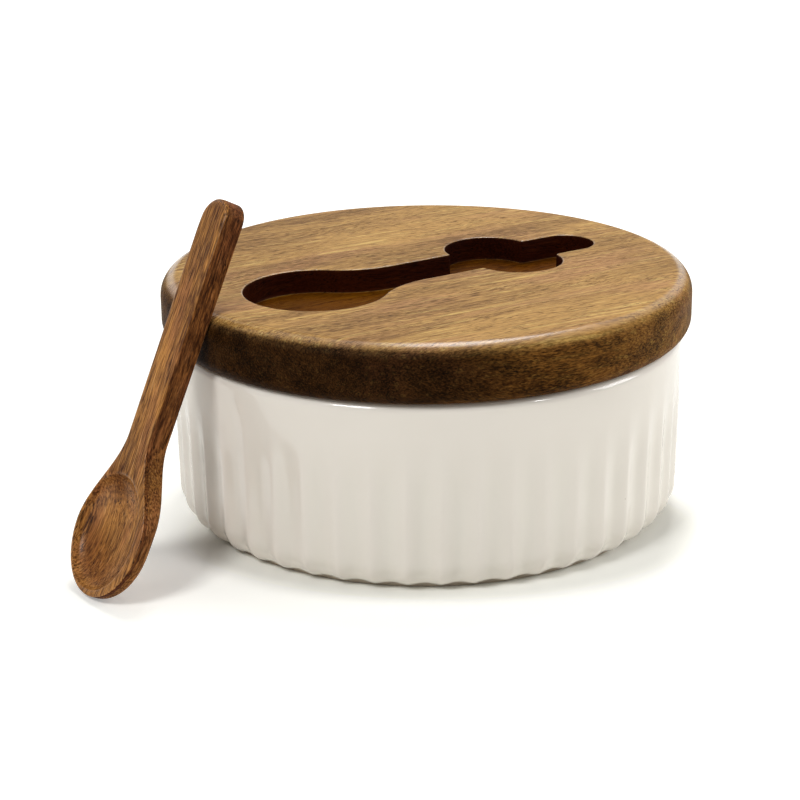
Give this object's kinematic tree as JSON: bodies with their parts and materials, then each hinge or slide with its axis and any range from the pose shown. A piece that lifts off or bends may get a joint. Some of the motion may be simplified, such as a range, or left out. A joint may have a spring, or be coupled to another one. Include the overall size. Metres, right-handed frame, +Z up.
{
  "type": "salt box with lift-off lid",
  "caption": "Low round fluted ceramic salt box with a lift-off wooden lid, a spoon-shaped pocket in the lid's top, a seal ring and a wooden spoon leaning on it.",
  "frame": {"origin": "centre of the bowl's foot ring, on the surface that the box stands on", "axes": "+Z up along the bowl's axis; -Y is the front, with the spoon leaning at the front left (-X, -Y)"},
  "size_m": [0.1361, 0.1245, 0.0788],
  "materials": {
    "glaze": "gloss",
    "lid_wood": "satin",
    "silicone": "satin",
    "spoon_wood": "satin"
  },
  "bodies": {
    "bowl": {"bowl": "glaze"},
    "lid": {"lid": "lid_wood", "seal_ring": "silicone"},
    "spoon": {"spoon": "spoon_wood"}
  },
  "joints": [
    {"name": "lid_lift", "type": "slide", "parent": "bowl", "child": "lid", "axis": [0, 0, 1], "range_m": [0, 0.06]},
    {"name": "spoon_lift", "type": "slide", "parent": "lid", "child": "spoon", "axis": [0, 0, 1], "range_m": [0, 0.06]}
  ]
}
